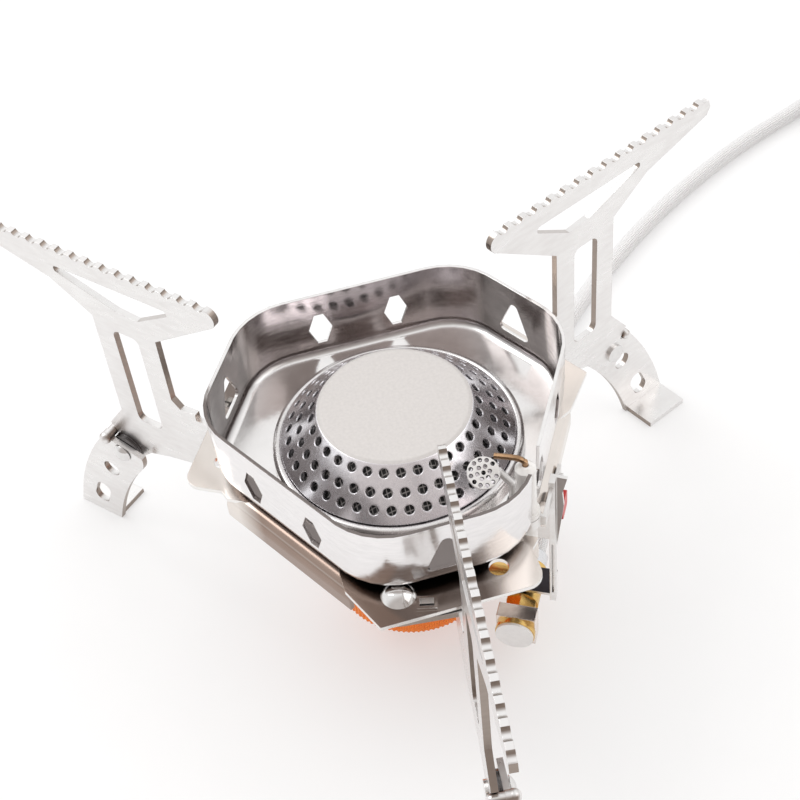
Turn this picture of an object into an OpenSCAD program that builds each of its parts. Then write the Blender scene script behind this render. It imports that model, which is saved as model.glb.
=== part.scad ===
// Camp stove with three folding pot supports, a windscreen pan round the burner, a spark igniter
// and a gas hose that ends in a canister valve. Millimetres, +Z up, the feet stand on z = 0.

/* [Burner] */
// radius of the cone at its foot
cone_foot_r = 24.7; // [18:0.1:32]
// height of the cone's foot above the table
cone_foot_z = 58.2; // [45:0.1:70]
// radius of the flat top
cone_top_r = 16.2; // [10:0.1:20]
// height of the flat top
cone_top_z = 66.6; // [60:0.1:75]
// diameter of a flame port
port_d = 2; // [1:0.1:3]
// ports in the inner, middle and outer row
port_counts = [32, 36, 40];
// radius of each row of ports
port_rows = [17.4, 20.2, 22.7];

/* [Windscreen pan] */
// distance from the axis to a long wall at the rim
pan_long = 32.3; // [28:0.1:40]
// distance from the axis to a short wall at the rim
pan_short = 37.5; // [32:0.1:45]
// height of the rim
rim_z = 71.9; // [66:0.1:80]
// height of the floor's upper face
pan_floor_z = 55.4; // [50:0.1:60]
// thickness of the pan's sheet
pan_sheet = 0.7; // [0.4:0.1:1.2]
// outside radius of the rim's corners
pan_corner = 15; // [8:0.5:18]
// radius between walls and floor
pan_bend = 2.8; // [2:0.1:6]
// how far the walls lean outward
pan_flare = 0.3; // [0:0.1:3]

/* [Base plate] */
// height of the plate's upper face
plate_z = 52.8; // [45:0.1:60]
// thickness of the plate
plate_t = 1; // [0.6:0.1:2]
// reach of a lobe from the axis
lobe_reach = 42.6; // [36:0.1:50]
// half the width of a lobe
lobe_half = 18; // [14:0.1:22]
// distance from the axis to the outer face of a long edge
plate_long = 33.2; // [28:0.1:40]
// lowest point of the turned-down edges
edge_low_z = 47; // [44:0.1:51]

/* [Pot supports] */
// thickness of the sheet
support_t = 1.5; // [1:0.1:2.5]
// height of the pot rest
rest_z = 89.5; // [80:0.1:100]
// reach of a support from the axis
support_reach = 97; // [80:0.5:110]
// distance between two teeth of the rest
tooth_pitch = 4.1; // [3:0.1:6]
// turn of the front support from straight out
swing_front = -7; // [-150:0.1:0]
// turn of the right support from straight out
swing_right = -5; // [-150:0.1:0]
// turn of the left support from straight out
swing_left = -18; // [-150:0.1:0]

/* [Feet] */
// thickness of a foot
foot_t = 1.4; // [1:0.1:2.5]
// width of a foot
foot_w = 12.4; // [9:0.1:15]
// depth of the bent toe
toe_depth = 8; // [4:0.1:12]

/* [Gas supply] */
// outside diameter of the hose
hose_d = 4.8; // [4:0.1:8]
// radius of the reeded base
reed_r = 18; // [14:0.1:22]
// lower and upper face of the reeded base
reed_z = [11, 30];
// wall radius of the canister thread
thread_r = 5.15; // [5:0.01:5.6]
// depth of the canister thread
thread_depth = 8; // [6:0.5:12]

/* [Hidden] */
$fn = 48;
fine = 0.02;
// place of the burner axis in the frame of the whole stove
burner_at = [-5.53, 16.52, 0];
lobe_angles = [270, 30, 150];
edge_angles = [90, 210, 330];
igniter_angle = 330;
cone_slope = (cone_top_z - cone_foot_z) / (cone_foot_r - cone_top_r);
cone_lean = atan(1 / cone_slope);

// burner
ring_r = 26.4;
ring_wall = 1.6;
bowl_wall_r = 24.3;
neck_r = 8.8;
screw_ring = 15;
screw_r = 1.2;
pillar_top = plate_z - plate_t;

// holes in the walls of the pan
hex_hole_t = 8.6;
hex_hole_z = 62.4;
arch_hole_z = 63;

// base plate
edge_bend = 3;
edge_half = 18.5;
lobe_corner = 3.4;
lobe_cut = 15.6;
lance_at = [40.2, -5.6];
lance_turn = 75;
lance_size = [4, 3];
lance_hole = [2.8, 1.8];
lance_rise = 0.9;
rivet_r = 2;
pivot_r = 36.16;
pivot_t = -10.24;

// supports, in a frame whose origin lies on the support's pivot
plate_off = 11.47;
arm_tab_z = [50, 51.5];
nose_r = 2.5;
nose_at = [33.1, rest_z - nose_r];
window_r = 0.9;
foot_at = [68.3, 29.7];
foot_hole_r = 1.66;
washer_t = 0.5;
washer_r = 3.9;
washer_gap = 0.05;
foot_top = 2.2;
foot_top_turn = 14;
foot_head_r = 2.4;
foot_face = plate_off + support_t / 2 + 1.2;
stud_at = [3.9, 3.6];
stud_r = 1.2;
stud_ball_r = 1.5;
ear_r = 4;

// electrode, target and bracket, in the frame of the edge that carries the igniter
rod_at = [30.2, -14.2];
rod_r = 2.1;
rod_z = [48, 70.5];
notch_t = [-17.5, -10.3];
bracket_t = [-7, 3];
bracket_x = plate_long;
sheet = 0.8;
post_t = 1.8;
post_x = 1.3;
post_z = [17, 57.3];
piezo_x = [24.5, 33.4];
piezo_t = [-4.4, 3.6];
piezo_z = [36.4, 46.8];
button_size = 5;
button_mid = [-0.4, 42.8];
button_in = 30;
button_out = 35.4;

// gas inlet, in a frame along the fitting
inlet_turn = 60;
inlet_off = 27;
inlet_z = 14.5;
nipple_end = 15.1;
body_back = -7.4;
ferrule_from = 2.6;
hose_start = 6;
hexagon_l = 3.5;
block_l = 3.6;
block_w = 8.6;
disc_t = 1.2;
plug_t = 0.6;
block_back = body_back - hexagon_l - block_l;

// route of the hose over the table
hose_z = 2.5;
coil_z = 3.3;
hose_route = [[26.44, -8.2, 14.5], [28.76, -4.18, 14.5], [30.3, 1, 13.2], [31, 6.6, 10.2], [31.1, 12.4, 6.8],
    [31.2, 18.2, 4], [31.9, 24.4, 2.6], [34.6, 33.6, hose_z], [40, 43.6, hose_z], [47.2, 53.1, hose_z],
    [60.4, 69.3, hose_z], [75, 83.9, hose_z], [85, 92.3, hose_z], [95.6, 100.8, hose_z],
    [106.7, 108.7, hose_z], [118.1, 116, hose_z], [130, 122.7, hose_z], [142.1, 128.7, hose_z],
    [154.6, 134, hose_z], [166.5, 138.8, 2.9], [177.7, 144.4, coil_z]];
coil_turn = 31.4;
coil_entry = [182, 147];
coil_r = 24.6;
coil_step = 5.4;
coil_loops = 2.5;
coil_tail = 5;
coil_mid = coil_entry + (coil_r + coil_step / 2) * [sin(coil_turn), -cos(coil_turn)];
coil_end = 2 * coil_mid - coil_entry;
away = [cos(coil_turn), sin(coil_turn)];
valve_out = 54;
valve_at = coil_end - valve_out * away;
valve_in_z = 16;
stem_z = 21;
ferrule_end = 21;
// the hose's last stretch, in the frame of the valve
coil_out = valve_out - coil_tail;
coil_top = coil_z + coil_step;
tail_route = [[coil_out, 0, coil_top], [46.2, 0, coil_top], [43.4, 0, coil_top], [35, 0, 12.4],
    [26.6, 0, valve_in_z], [23.8, 0, valve_in_z], [ferrule_end, 0, valve_in_z]];
lead_d = 1.6;
lead_route = [[30.2, -14.2, 48], [30.2, -14.2, 45.5], [29.2, -13, 41.6], [26.2, -9.6, 38.6],
    [22.4, -5.6, 38], [20.2, -2.6, 39.4], [21.4, -0.6, 41], [24.5, -0.4, 41.4]];
wire_d = 1.2;
wire_route = [[30.2, -14.2, 49], [30.2, -14.2, 60], [30.2, -14.2, 70.5], [29.9, -14.2, 71.5],
    [29.1, -14.2, 72], [27.8, -14.15, 72.1], [24.1, -14, 71.7]];

// corner points of a six-sided outline with long sides at edge_angles and short sides at lobe_angles
function hex_mid(long, short) = [short, (long - short * cos(60)) / sin(60)];
function turned(p, a) = [p.x * cos(a) - p.y * sin(a), p.x * sin(a) + p.y * cos(a)];
function hex_points(long, short) = [for (a = lobe_angles, side = [-1, 1])
    turned([short, side * hex_mid(long, short).y], a)];

// discs at the corners of a rounded six-sided outline
module corner_discs(long, short, corner) {
    for (c = hex_points(long - corner, short - corner)) translate(c) circle(corner, $fn = 32);
}

// points of a smooth curve through the given route
function on_curve(a, b, c, d, u) = 0.5 * (2 * b + (c - a) * u + (2 * a - 5 * b + 4 * c - d) * u * u
    + (3 * b - a - 3 * c + d) * u * u * u);
function smooth(p, steps) = [for (i = [0:len(p) - 2], k = [0:steps - 1])
    on_curve(p[max(i - 1, 0)], p[i], p[i + 1], p[min(i + 2, len(p) - 1)], k / steps), p[len(p) - 1]];
function unit(v) = v / norm(v);
function heading(p, i) = i == 0 ? unit(p[1] - p[0])
    : i == len(p) - 1 ? unit(p[i] - p[i - 1]) : unit(p[i + 1] - p[i - 1]);

// tube along a list of points, with flat ends
module tube(p, d, sides, up) {
    rings = [for (i = [0:len(p) - 1])
        let (across = unit(cross(heading(p, i), up)), over = cross(across, heading(p, i)))
        for (k = [0:sides - 1])
            let (turn = 360 * k / sides) p[i] + d / 2 * (cos(turn) * across + sin(turn) * over)];
    last = (len(p) - 1) * sides;
    walls = [for (i = [0:len(p) - 2], k = [0:sides - 1], half = [0, 1])
        let (a = i * sides + k, b = i * sides + (k + 1) % sides)
        half == 0 ? [a, b, b + sides] : [a, b + sides, a + sides]];
    ends = [[for (k = [0:sides - 1]) sides - 1 - k], [for (k = [0:sides - 1]) last + k]];
    polyhedron(rings, concat(walls, ends));
}

module at_burner() {
    translate(burner_at) children();
}

module at_edge() {
    at_burner() rotate(igniter_angle) children();
}

module at_screws() {
    for (a = edge_angles) rotate(a) translate([screw_ring, 0, 0]) children();
}

module at_inlet() {
    at_burner() rotate(inlet_turn) translate([0, -inlet_off, inlet_z]) rotate([0, 90, 0]) children();
}

module at_valve() {
    at_burner() translate(valve_at) rotate(coil_turn) children();
}

// burner
module burner_cap() {
    color("darkgray") at_burner() difference() {
        rotate_extrude() polygon([[0, 66.1], [15.2, 66.1], [23.5, 57.8], [23.5, 57.4], [bowl_wall_r, 57.4],
            [cone_foot_r, cone_foot_z], [cone_top_r, cone_top_z], [cone_top_r - 0.8, cone_top_z + 0.35],
            [0, cone_top_z + 0.35]]);
        for (row = [0:2], i = [0:port_counts[row] - 1])
            rotate(270 + 360 * i / port_counts[row])
                translate([port_rows[row], 0, cone_foot_z + (cone_foot_r - port_rows[row]) * cone_slope])
                    rotate([0, cone_lean, 0]) cylinder(d = port_d, h = 4, center = true);
    }
}

module burner_gauze() {
    color("dimgray") at_burner() rotate_extrude() polygon([[23, 57], [23.4, 57], [23.3, 57.5], [15, 65.8],
        [0, 65.8], [0, 65.5], [14.8, 65.5], [22.8, 57.5]]);
}

module burner_ring() {
    color("silver") at_burner() rotate_extrude() intersection() {
        translate([24.4, pan_floor_z]) square([ring_r - 24.4, 3]);
        translate([24.4, pan_floor_z]) {
            square([ring_r - 24.4, ring_wall]);
            translate([(ring_r - 24.4) / 2, ring_wall]) circle((ring_r - 24.4) / 2);
        }
    }
}

module burner_bowl() {
    seat = pan_floor_z - pan_sheet;
    color("silver") at_burner() difference() {
        rotate_extrude() polygon([[neck_r - 0.8, 46], [neck_r, 46], [neck_r, plate_z], [20.6, plate_z],
            [22.7, seat - 0.7], [26, seat - 0.7], [26, seat], [bowl_wall_r, seat], [bowl_wall_r, 57.4],
            [23.6, 57.4], [23.6, seat], [22.4, seat], [20.3, plate_z + 0.8], [neck_r - 0.8, plate_z + 0.8]]);
        at_screws() translate([0, 0, plate_z - 1]) cylinder(r = screw_r + 0.05, h = 3);
    }
}

module burner_screws() {
    color("gray") at_burner() at_screws() difference() {
        union() {
            translate([0, 0, plate_z + 0.8]) cylinder(r = 2.3, h = 1.5);
            translate([0, 0, 45]) cylinder(r = screw_r, h = plate_z - 44.2);
        }
        translate([0, 0, plate_z + 1.7]) cylinder(r = 1.1, h = 2, $fn = 6);
    }
}

module pillars() {
    color("silver") at_burner() at_screws() difference() {
        union() {
            translate([0, 0, reed_z[1]]) cylinder(r = 2.7, h = pillar_top - reed_z[1], $fn = 6);
            translate([0, 0, reed_z[1] - 5]) cylinder(r = 1.4, h = 6);
        }
        translate([0, 0, 44]) cylinder(r = screw_r + 0.05, h = 10);
    }
}

module mixing_tube() {
    color("silver") at_burner() rotate_extrude() polygon([[9.4, 34], [9.4, 34.8], [7.9, 36.2], [7.9, 50],
        [7.1, 50], [7.1, 36], [8.6, 34]]);
}

module mixing_base() {
    reeds = 100;
    color("darkorange") at_burner() difference() {
        translate([0, 0, reed_z[0]]) cylinder(r = reed_r, h = reed_z[1] - reed_z[0]);
        translate([0, 0, 23]) cylinder(r = 11.5, h = 10);
        translate([0, 0, inlet_z]) cylinder(r = 1, h = 10);
        translate([0, 0, 19]) cylinder(r = 2.05, h = 10);
        rotate(inlet_turn - 90) translate([0, 0, inlet_z]) rotate([0, 90, 0]) cylinder(r = 1, h = 20);
        rotate(inlet_turn - 90) translate([15, 0, inlet_z]) rotate([0, 90, 0]) cylinder(r = 2.45, h = 8);
        at_screws() translate([0, 0, reed_z[1] - 5.5]) cylinder(r = 1.45, h = 6);
        for (i = [0:reeds - 1]) rotate(360 * i / reeds) translate([reed_r + 0.2, 0, reed_z[0] - 1])
            cylinder(r = 0.45, h = 10, $fn = 16);
    }
}

module gas_jet() {
    color("goldenrod") at_burner() difference() {
        union() {
            translate([0, 0, 19.5]) cylinder(r = 2, h = 5);
            translate([0, 0, 23.9]) cylinder(r = 3.4, h = 3, $fn = 6);
            translate([0, 0, 26.9]) cylinder(r1 = 2.4, r2 = 1.2, h = 2.6);
        }
        translate([0, 0, 19]) cylinder(r = 0.8, h = 9);
        translate([0, 0, 27]) cylinder(r = 0.3, h = 4);
    }
}

module jet_seal() {
    color("dimgray") at_burner() translate([0, 0, 23]) difference() {
        cylinder(r = 3.4, h = 0.9);
        translate([0, 0, -1]) cylinder(r = 2.05, h = 3);
    }
}

// base plate
module lobe_outline() {
    polygon([[12, -19], [28, -20], [32, -20], [lobe_reach, -lobe_cut], [lobe_reach, lobe_half - lobe_corner],
        [lobe_reach - lobe_corner, lobe_half], [34, lobe_half], [32, 19.8], [28, 20], [12, 19]]);
    translate([lobe_reach - lobe_corner, lobe_half - lobe_corner]) circle(lobe_corner);
}

module edge_profile() {
    translate([plate_long - edge_bend, plate_z - edge_bend]) intersection() {
        difference() {
            circle(edge_bend);
            circle(edge_bend - plate_t);
        }
        square(edge_bend);
    }
    translate([plate_long - plate_t, edge_low_z]) square([plate_t, plate_z - edge_bend - edge_low_z]);
}

module at_lances() {
    for (a = lobe_angles) rotate(a) translate(lance_at) rotate(lance_turn) children();
}

module base_plate() {
    color("tan") at_burner() difference() {
        union() {
            translate([0, 0, pillar_top]) linear_extrude(plate_t) {
                polygon(hex_points(plate_long - edge_bend, pan_short));
                for (a = lobe_angles) rotate(a) lobe_outline();
            }
            for (a = edge_angles) rotate(a) rotate([90, 0, 0])
                linear_extrude(2 * edge_half, center = true) edge_profile();
            at_lances() translate([0, 0, pillar_top])
                linear_extrude(plate_t + lance_rise) square(lance_size, center = true);
        }
        at_lances() translate([0, 0, 45]) linear_extrude(10) square(lance_hole, center = true);
        translate([0, 0, 45]) cylinder(r = neck_r + 0.3, h = 10);
        at_screws() translate([0, 0, 45]) cylinder(r = screw_r + 0.05, h = 10);
        for (a = lobe_angles, side = [-1, 1]) rotate(a) translate([pivot_r, side * pivot_t, 45])
            cylinder(r = rivet_r + 0.02, h = 10);
        rotate(igniter_angle) translate([27.8, notch_t[0], 40]) cube([10, notch_t[1] - notch_t[0], 20]);
    }
}

module support_rivets() {
    tail_z = arm_tab_z[0] - 0.7;
    color("white") at_burner() for (a = lobe_angles) rotate(a) translate([pivot_r, pivot_t, 0]) {
        translate([0, 0, plate_z]) intersection() {
            translate([0, 0, -2.2]) sphere(4.2);
            cylinder(r = 3.6, h = 3);
        }
        translate([0, 0, tail_z - 1.4]) cylinder(r = rivet_r, h = plate_z - tail_z + 1.5);
        translate([0, 0, tail_z - 1.4]) cylinder(r = 3.4, h = 1.4);
    }
}

module support_washers() {
    color("dimgray") at_burner() for (a = lobe_angles) rotate(a)
        translate([pivot_r, pivot_t, arm_tab_z[0] - 0.7]) difference() {
            cylinder(r = 4.2, h = 0.5);
            translate([0, 0, -1]) cylinder(r = rivet_r + 0.05, h = 3);
        }
}

// windscreen pan
module pan_form(inset, low, high) {
    bend = pan_bend - inset;
    hull() {
        for (q = [0:22.5:90]) let (in = inset + bend * (1 - sin(q)))
            translate([0, 0, low + bend * (1 - cos(q))]) linear_extrude(fine)
                corner_discs(pan_long - pan_flare - in, pan_short - pan_flare - in, pan_corner - in);
        translate([0, 0, high]) linear_extrude(fine)
            corner_discs(pan_long - inset, pan_short - inset, pan_corner - inset);
    }
}

module hex_hole() {
    polygon([[1.05, -4.1], [2.7, 0], [1.05, 4.1], [-1.05, 4.1], [-2.7, 0], [-1.05, -4.1]]);
}

module arch_hole() {
    translate([0, 3.5]) circle(1.2, $fn = 16);
    translate([3, -3.1]) circle(1.1, $fn = 16);
    translate([-3, -3.1]) circle(1.1, $fn = 16);
    polygon([[1.1, 4], [-1.1, 4], [-4, -2.7], [-3, -4.2], [3, -4.2], [4, -2.7]]);
}

module windscreen_pan() {
    color("gainsboro") at_burner() difference() {
        pan_form(0, pan_floor_z - pan_sheet, rim_z - fine);
        pan_form(pan_sheet, pan_floor_z, rim_z + fine);
        translate([0, 0, 50]) cylinder(r = bowl_wall_r + 0.05, h = 10);
        for (a = edge_angles, side = [-1, 1]) rotate(a) translate([26, side * hex_hole_t, hex_hole_z])
            rotate([90, 0, 90]) linear_extrude(12) hex_hole();
        for (a = lobe_angles) rotate(a) translate([30, 0, arch_hole_z])
            rotate([90, 0, 90]) linear_extrude(12) arch_hole();
        rotate(igniter_angle) translate([25.6, notch_t[0], 50]) cube([10, notch_t[1] - notch_t[0], 30]);
    }
}

// supports
// outline with round corners, from the centres of its corners in anticlockwise order
module soft_outline(centres, r) {
    last = len(centres) - 1;
    polygon([for (i = [0:last]) let (a = centres[i], b = centres[i < last ? i + 1 : 0],
        out = r * unit([b.y - a.y, a.x - b.x])) each [a + out, b + out]]);
    for (c = centres) translate(c) circle(r, $fn = 24);
}

module rest_outline() {
    difference() {
        union() {
            polygon([[31.7, 85], [49.3, 73], [49.3, 55.2], [47.3, 53], [43.1, 53.4], [43.1, arm_tab_z[1]],
                [32, arm_tab_z[1]], [32, 46], [40, 38], [46.4, 35], [55, 33], [61.2, 30.9], [65.6, 26.8],
                foot_at, [70.45, 33.07], [72.3, 36], [67, 43], [66.8, 73.2], [77, 80], [90, 83.5],
                [96, 85.2], [support_reach, 87], [96.2, rest_z], [nose_at.x, rest_z]]);
            translate(nose_at) circle(nose_r);
        }
        for (r = [34.3:tooth_pitch:96]) translate([r, rest_z + 0.5]) circle(1.4, $fn = 24);
        translate([54.7, 44]) square([7.1, 25]);
        translate([56.5, 42.2]) square([3.5, 28.8]);
        for (r = [56.5, 60], z = [44, 69.2]) translate([r, z]) circle(1.8, $fn = 24);
        soft_outline([[44.6, 83.4], [53.6, 78], [58.8, 78.5], [73.8, 83.4]], window_r);
    }
    translate(foot_at) circle(ear_r);
}

module at_support(angle, swing) {
    at_burner() rotate(angle) translate([pivot_r, pivot_t, 0]) rotate(swing) children();
}

module upright(outline_r) {
    translate([-pivot_r, 0, 0]) rotate([90, 0, 0]) linear_extrude(outline_r, center = true) children();
}

module support(angle, swing) {
    color("gainsboro") at_support(angle, swing) difference() {
        union() {
            translate([0, plate_off, 0]) upright(support_t) rest_outline();
            translate([0, 0, arm_tab_z[0]]) linear_extrude(arm_tab_z[1] - arm_tab_z[0]) {
                circle(5.6);
                translate([-4.1, 0]) square([9.7, plate_off]);
            }
        }
        translate([0, 0, 40]) cylinder(r = rivet_r + 0.05, h = 20);
        at_foot() cylinder(r = foot_hole_r - 0.04, h = 40, center = true);
    }
}

// axis of the foot along +Z, turned so that +X stays outward and +Y is up
module at_foot() {
    translate([foot_at.x - pivot_r, 0, foot_at.y]) rotate([90, 0, 0]) children();
}

module foot_rivet(angle, swing) {
    outer = -foot_face - foot_t - 0.15;
    inner = support_t / 2 - plate_off;
    color("white") at_support(angle, swing) at_foot() {
        translate([0, 0, outer]) cylinder(r = 1.6, h = inner - outer + 0.1);
        translate([0, 0, inner]) cylinder(r = foot_head_r, h = 0.7);
        translate([0, 0, outer]) intersection() {
            translate([0, 0, 1.8]) sphere(3.1);
            translate([0, 0, -4]) cylinder(r = foot_head_r, h = 4);
        }
    }
}

module foot_washers(angle, swing) {
    first = -plate_off - support_t / 2 - washer_gap - washer_t;
    color("dimgray") at_support(angle, swing) at_foot() for (i = [0, 1])
        translate([0, 0, first - i * (washer_t + washer_gap)]) difference() {
            cylinder(r = washer_r, h = washer_t);
            translate([0, 0, -1]) cylinder(r = 1.62, h = 3);
        }
}

module foot_outline() {
    reach = [14.9, -foot_at.y];
    bow = 80;
    middle = reach / 2 + [reach.y, -reach.x] / norm(reach) * sqrt(bow * bow - reach * reach / 4);
    difference() {
        union() {
            intersection() {
                translate(middle) difference() {
                    circle(bow + foot_w / 2, $fn = 200);
                    circle(bow - foot_w / 2, $fn = 200);
                }
                polygon([middle, 1.6 * -middle, [60, -foot_at.y], [-10, -foot_at.y]]);
            }
            circle(foot_w / 2);
        }
        rotate(foot_top_turn) translate([-foot_w, foot_top]) square([2 * foot_w, foot_w]);
        circle(foot_hole_r);
        translate([5.9, -9]) circle(2.3);
        translate([12.3, -21.7]) rotate(-67) {
            for (side = [-1.9, 1.9]) translate([side, 0]) circle(2.1);
            square([3.8, 4.2], center = true);
        }
    }
}

module foot(angle, swing) {
    color("gainsboro") at_support(angle, swing) at_foot() {
        translate([0, 0, -foot_face - foot_t]) linear_extrude(foot_t) {
            foot_outline();
            translate(stud_at) circle(stud_r + 0.2);
        }
        translate([8.9, -foot_at.y, -foot_face - foot_t]) cube([12.1, foot_t, toe_depth + foot_t]);
        translate([stud_at.x, stud_at.y, -foot_face - fine]) cylinder(r = stud_r, h = 2.6);
        translate([stud_at.x, stud_at.y, 2.6 - foot_face]) sphere(stud_r);
        translate([stud_at.x, stud_at.y, -foot_face - foot_t - 0.3]) sphere(stud_ball_r);
    }
}

module support_front() {
    support(lobe_angles[0], swing_front);
}

module support_right() {
    support(lobe_angles[1], swing_right);
}

module support_left() {
    support(lobe_angles[2], swing_left);
}

module foot_rivet_front() {
    foot_rivet(lobe_angles[0], swing_front);
}

module foot_rivet_right() {
    foot_rivet(lobe_angles[1], swing_right);
}

module foot_rivet_left() {
    foot_rivet(lobe_angles[2], swing_left);
}

module foot_washers_front() {
    foot_washers(lobe_angles[0], swing_front);
}

module foot_washers_right() {
    foot_washers(lobe_angles[1], swing_right);
}

module foot_washers_left() {
    foot_washers(lobe_angles[2], swing_left);
}

module foot_front() {
    foot(lobe_angles[0], swing_front);
}

module foot_right() {
    foot(lobe_angles[1], swing_right);
}

module foot_left() {
    foot(lobe_angles[2], swing_left);
}

// igniter
module igniter_bracket() {
    wide = bracket_t[1] - bracket_t[0];
    gusset_t = bracket_t[0] + post_t;
    color("gainsboro") at_edge() difference() {
        union() {
            translate([bracket_x, bracket_t[0], post_z[0]]) cube([post_x, post_t, post_z[1] - post_z[0]]);
            translate([bracket_x, bracket_t[0], edge_low_z]) cube([sheet, wide, 4.6]);
            translate([25, bracket_t[0], inlet_z + 4.1]) cube([bracket_x - 24.5, 6.6, sheet]);
            translate([0, gusset_t + sheet, 0]) rotate([90, 0, 0]) linear_extrude(sheet)
                polygon([[bracket_x, 34], [34.4, 34], [36, 48.4], [35.7, 52.4], [36.7, 57],
                    [bracket_x, post_z[1]]]);
            translate([piezo_x[0], gusset_t, piezo_z[0]])
                cube([bracket_x - piezo_x[0] + 0.5, sheet, piezo_z[1] - piezo_z[0]]);
        }
        translate([bracket_x + 0.5, bracket_t[0] - 1, 20]) cube([0.35, 1.8, 17]);
        at_bracket_rivets() cylinder(r = 0.85, h = 10, center = true);
    }
}

module at_bracket_rivets() {
    for (t = [-2.6, 1]) translate([bracket_x, t, 49.3]) rotate([0, 90, 0]) children();
}

module bracket_rivets() {
    color("white") at_edge() at_bracket_rivets() {
        cylinder(r = 0.8, h = sheet + 0.1);
        translate([0, 0, sheet]) cylinder(r = 1.3, h = 0.6);
    }
}

module piezo_housing() {
    pocket = button_size + 0.4;
    color("dimgray") at_edge() difference() {
        translate([piezo_x[0], piezo_t[0], piezo_z[0]])
            cube([piezo_x[1] - piezo_x[0], piezo_t[1] - piezo_t[0], piezo_z[1] - piezo_z[0]]);
        translate([27, button_mid[0] - pocket / 2, button_mid[1] - pocket / 2]) cube([10, pocket, pocket]);
    }
}

module igniter_button() {
    color("red") at_edge() translate([button_in, button_mid[0], button_mid[1]])
        rotate([0, 90, 0]) difference() {
        linear_extrude(button_out - button_in) {
            square([button_size, button_size - 2], center = true);
            square([button_size - 2, button_size], center = true);
            for (a = [0:90:270]) rotate(a)
                translate([button_size / 2 - 1, button_size / 2 - 1]) circle(1, $fn = 16);
        }
        translate([0, 0, -1]) cylinder(r = 1.9, h = 4.2);
    }
}

module button_spring() {
    turns = 5;
    route = [for (i = [0:8 * turns]) [27.3 + 3.4 * i / (8 * turns), button_mid[0] + 1.6 * cos(45 * i),
        button_mid[1] + 1.6 * sin(45 * i)]];
    color("silver") at_edge() tube(route, 0.4, 6, [1, 0, 0]);
}

module electrode_clip() {
    color("silver") at_edge() difference() {
        union() {
            translate([rod_at.x, rod_at.y, 53.2]) cylinder(r = rod_r + 0.7, h = 2.6);
            translate([bracket_x + 0.2, rod_at.y - 0.4, 53.2])
                cube([sheet, bracket_t[0] - rod_at.y + 0.4, 2.6]);
            translate([rod_at.x, rod_at.y - 0.4, 53.2]) cube([bracket_x - rod_at.x + 0.6, sheet, 2.6]);
        }
        translate([rod_at.x, rod_at.y, 50]) cylinder(r = rod_r + 0.02, h = 10);
    }
}

module electrode_ceramic() {
    color("white") at_edge() translate(rod_at) difference() {
        union() {
            translate([0, 0, rod_z[0]]) cylinder(r = rod_r, h = rod_z[1] - rod_z[0] - 0.9);
            translate([0, 0, rod_z[1] - 0.9]) cylinder(r1 = rod_r, r2 = rod_r - 0.9, h = 0.9);
            translate([0, 0, 55.9]) cylinder(r = rod_r + 0.6, h = 1.2);
        }
        translate([0, 0, 47]) cylinder(r = wire_d / 2 + 0.05, h = 40);
    }
}

module electrode_wire() {
    color("peru") at_edge() tube(smooth(wire_route, 3), wire_d, 8, [0, 1, 0]);
}

module ignition_lead() {
    color("dimgray") at_edge() tube(smooth(lead_route, 4), lead_d, 8, [0.3, -0.5, -0.1]);
}

// round bar between two points
module bar(start, end, r) {
    way = end - start;
    translate(start) rotate([0, acos(way.z / norm(way)), atan2(way.y, way.x)])
        cylinder(r = r, h = norm(way));
}

module spark_target() {
    mid = [12, -22.2, 65];
    bend = [17.5, -23.5, 61.1];
    arm_r = 0.8;
    disc_d = 6.6;
    thick = 0.8;
    pitch = 1.3;
    hole_d = 0.9;
    color("silver") at_burner() {
        translate(mid) rotate([30, 0, 0]) difference() {
            cylinder(d = disc_d, h = thick, center = true);
            cylinder(d = hole_d, h = 3, center = true, $fn = 16);
            for (ring = [1, 2], i = [ring - 1:6 * ring - 1]) rotate(60 * i / ring)
                translate([pitch * ring, 0, 0]) cylinder(d = hole_d, h = 3, center = true, $fn = 16);
        }
        bar(mid + [3, -0.1, -0.3], bend, arm_r);
        translate(bend) sphere(arm_r + 0.15);
        translate([bend.x, bend.y, plate_z]) cylinder(r = arm_r, h = bend.z - plate_z);
        translate([bend.x, bend.y, plate_z]) rotate(igniter_angle)
            translate([-3.4, -0.9, 0]) cube([4.3, 4.3, thick]);
    }
}

// gas inlet
module inlet_body() {
    nipple = inlet_off - nipple_end;
    color("goldenrod") at_inlet() difference() {
        union() {
            translate([0, 0, body_back]) cylinder(r = 3.6, h = ferrule_from - body_back);
            translate([0, 0, ferrule_from - 1]) cylinder(r = 1.5, h = hose_start - 0.3 - ferrule_from);
            rotate([90, 0, 0]) translate([0, 0, -nipple]) cylinder(r = 2.4, h = nipple);
        }
        translate([0, 0, -1]) cylinder(r = 1, h = 10);
        rotate([90, 0, 0]) translate([0, 0, -nipple - 1]) cylinder(r = 1, h = nipple + 1);
    }
}

module inlet_hexagon() {
    color("goldenrod") at_inlet() translate([0, 0, body_back - hexagon_l]) difference() {
        cylinder(r = 3.7, h = hexagon_l, $fn = 6);
        translate([0, 0, -1]) cylinder(r = 1.25, h = hexagon_l + 2);
    }
}

module inlet_block() {
    color("gray") at_inlet() translate([-block_w / 2, -block_w / 2, block_back]) difference() {
        cube([block_w, block_w, block_l]);
        translate([block_w / 2, block_w / 2, -1]) cylinder(r = 1.25, h = block_l + 2);
    }
}

module inlet_disc() {
    color("goldenrod") at_inlet() translate([0, 0, block_back - disc_t]) difference() {
        cylinder(r = 4.4, h = disc_t);
        translate([0, 0, -1]) cylinder(r = 1.25, h = disc_t + 2);
    }
}

module inlet_plug() {
    face = block_back - disc_t - plug_t;
    color("gainsboro") at_inlet() {
        translate([0, 0, face]) cylinder(r = 4.2, h = plug_t);
        translate([0, 0, face]) cylinder(r = 1.2, h = body_back - face);
    }
}

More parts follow.
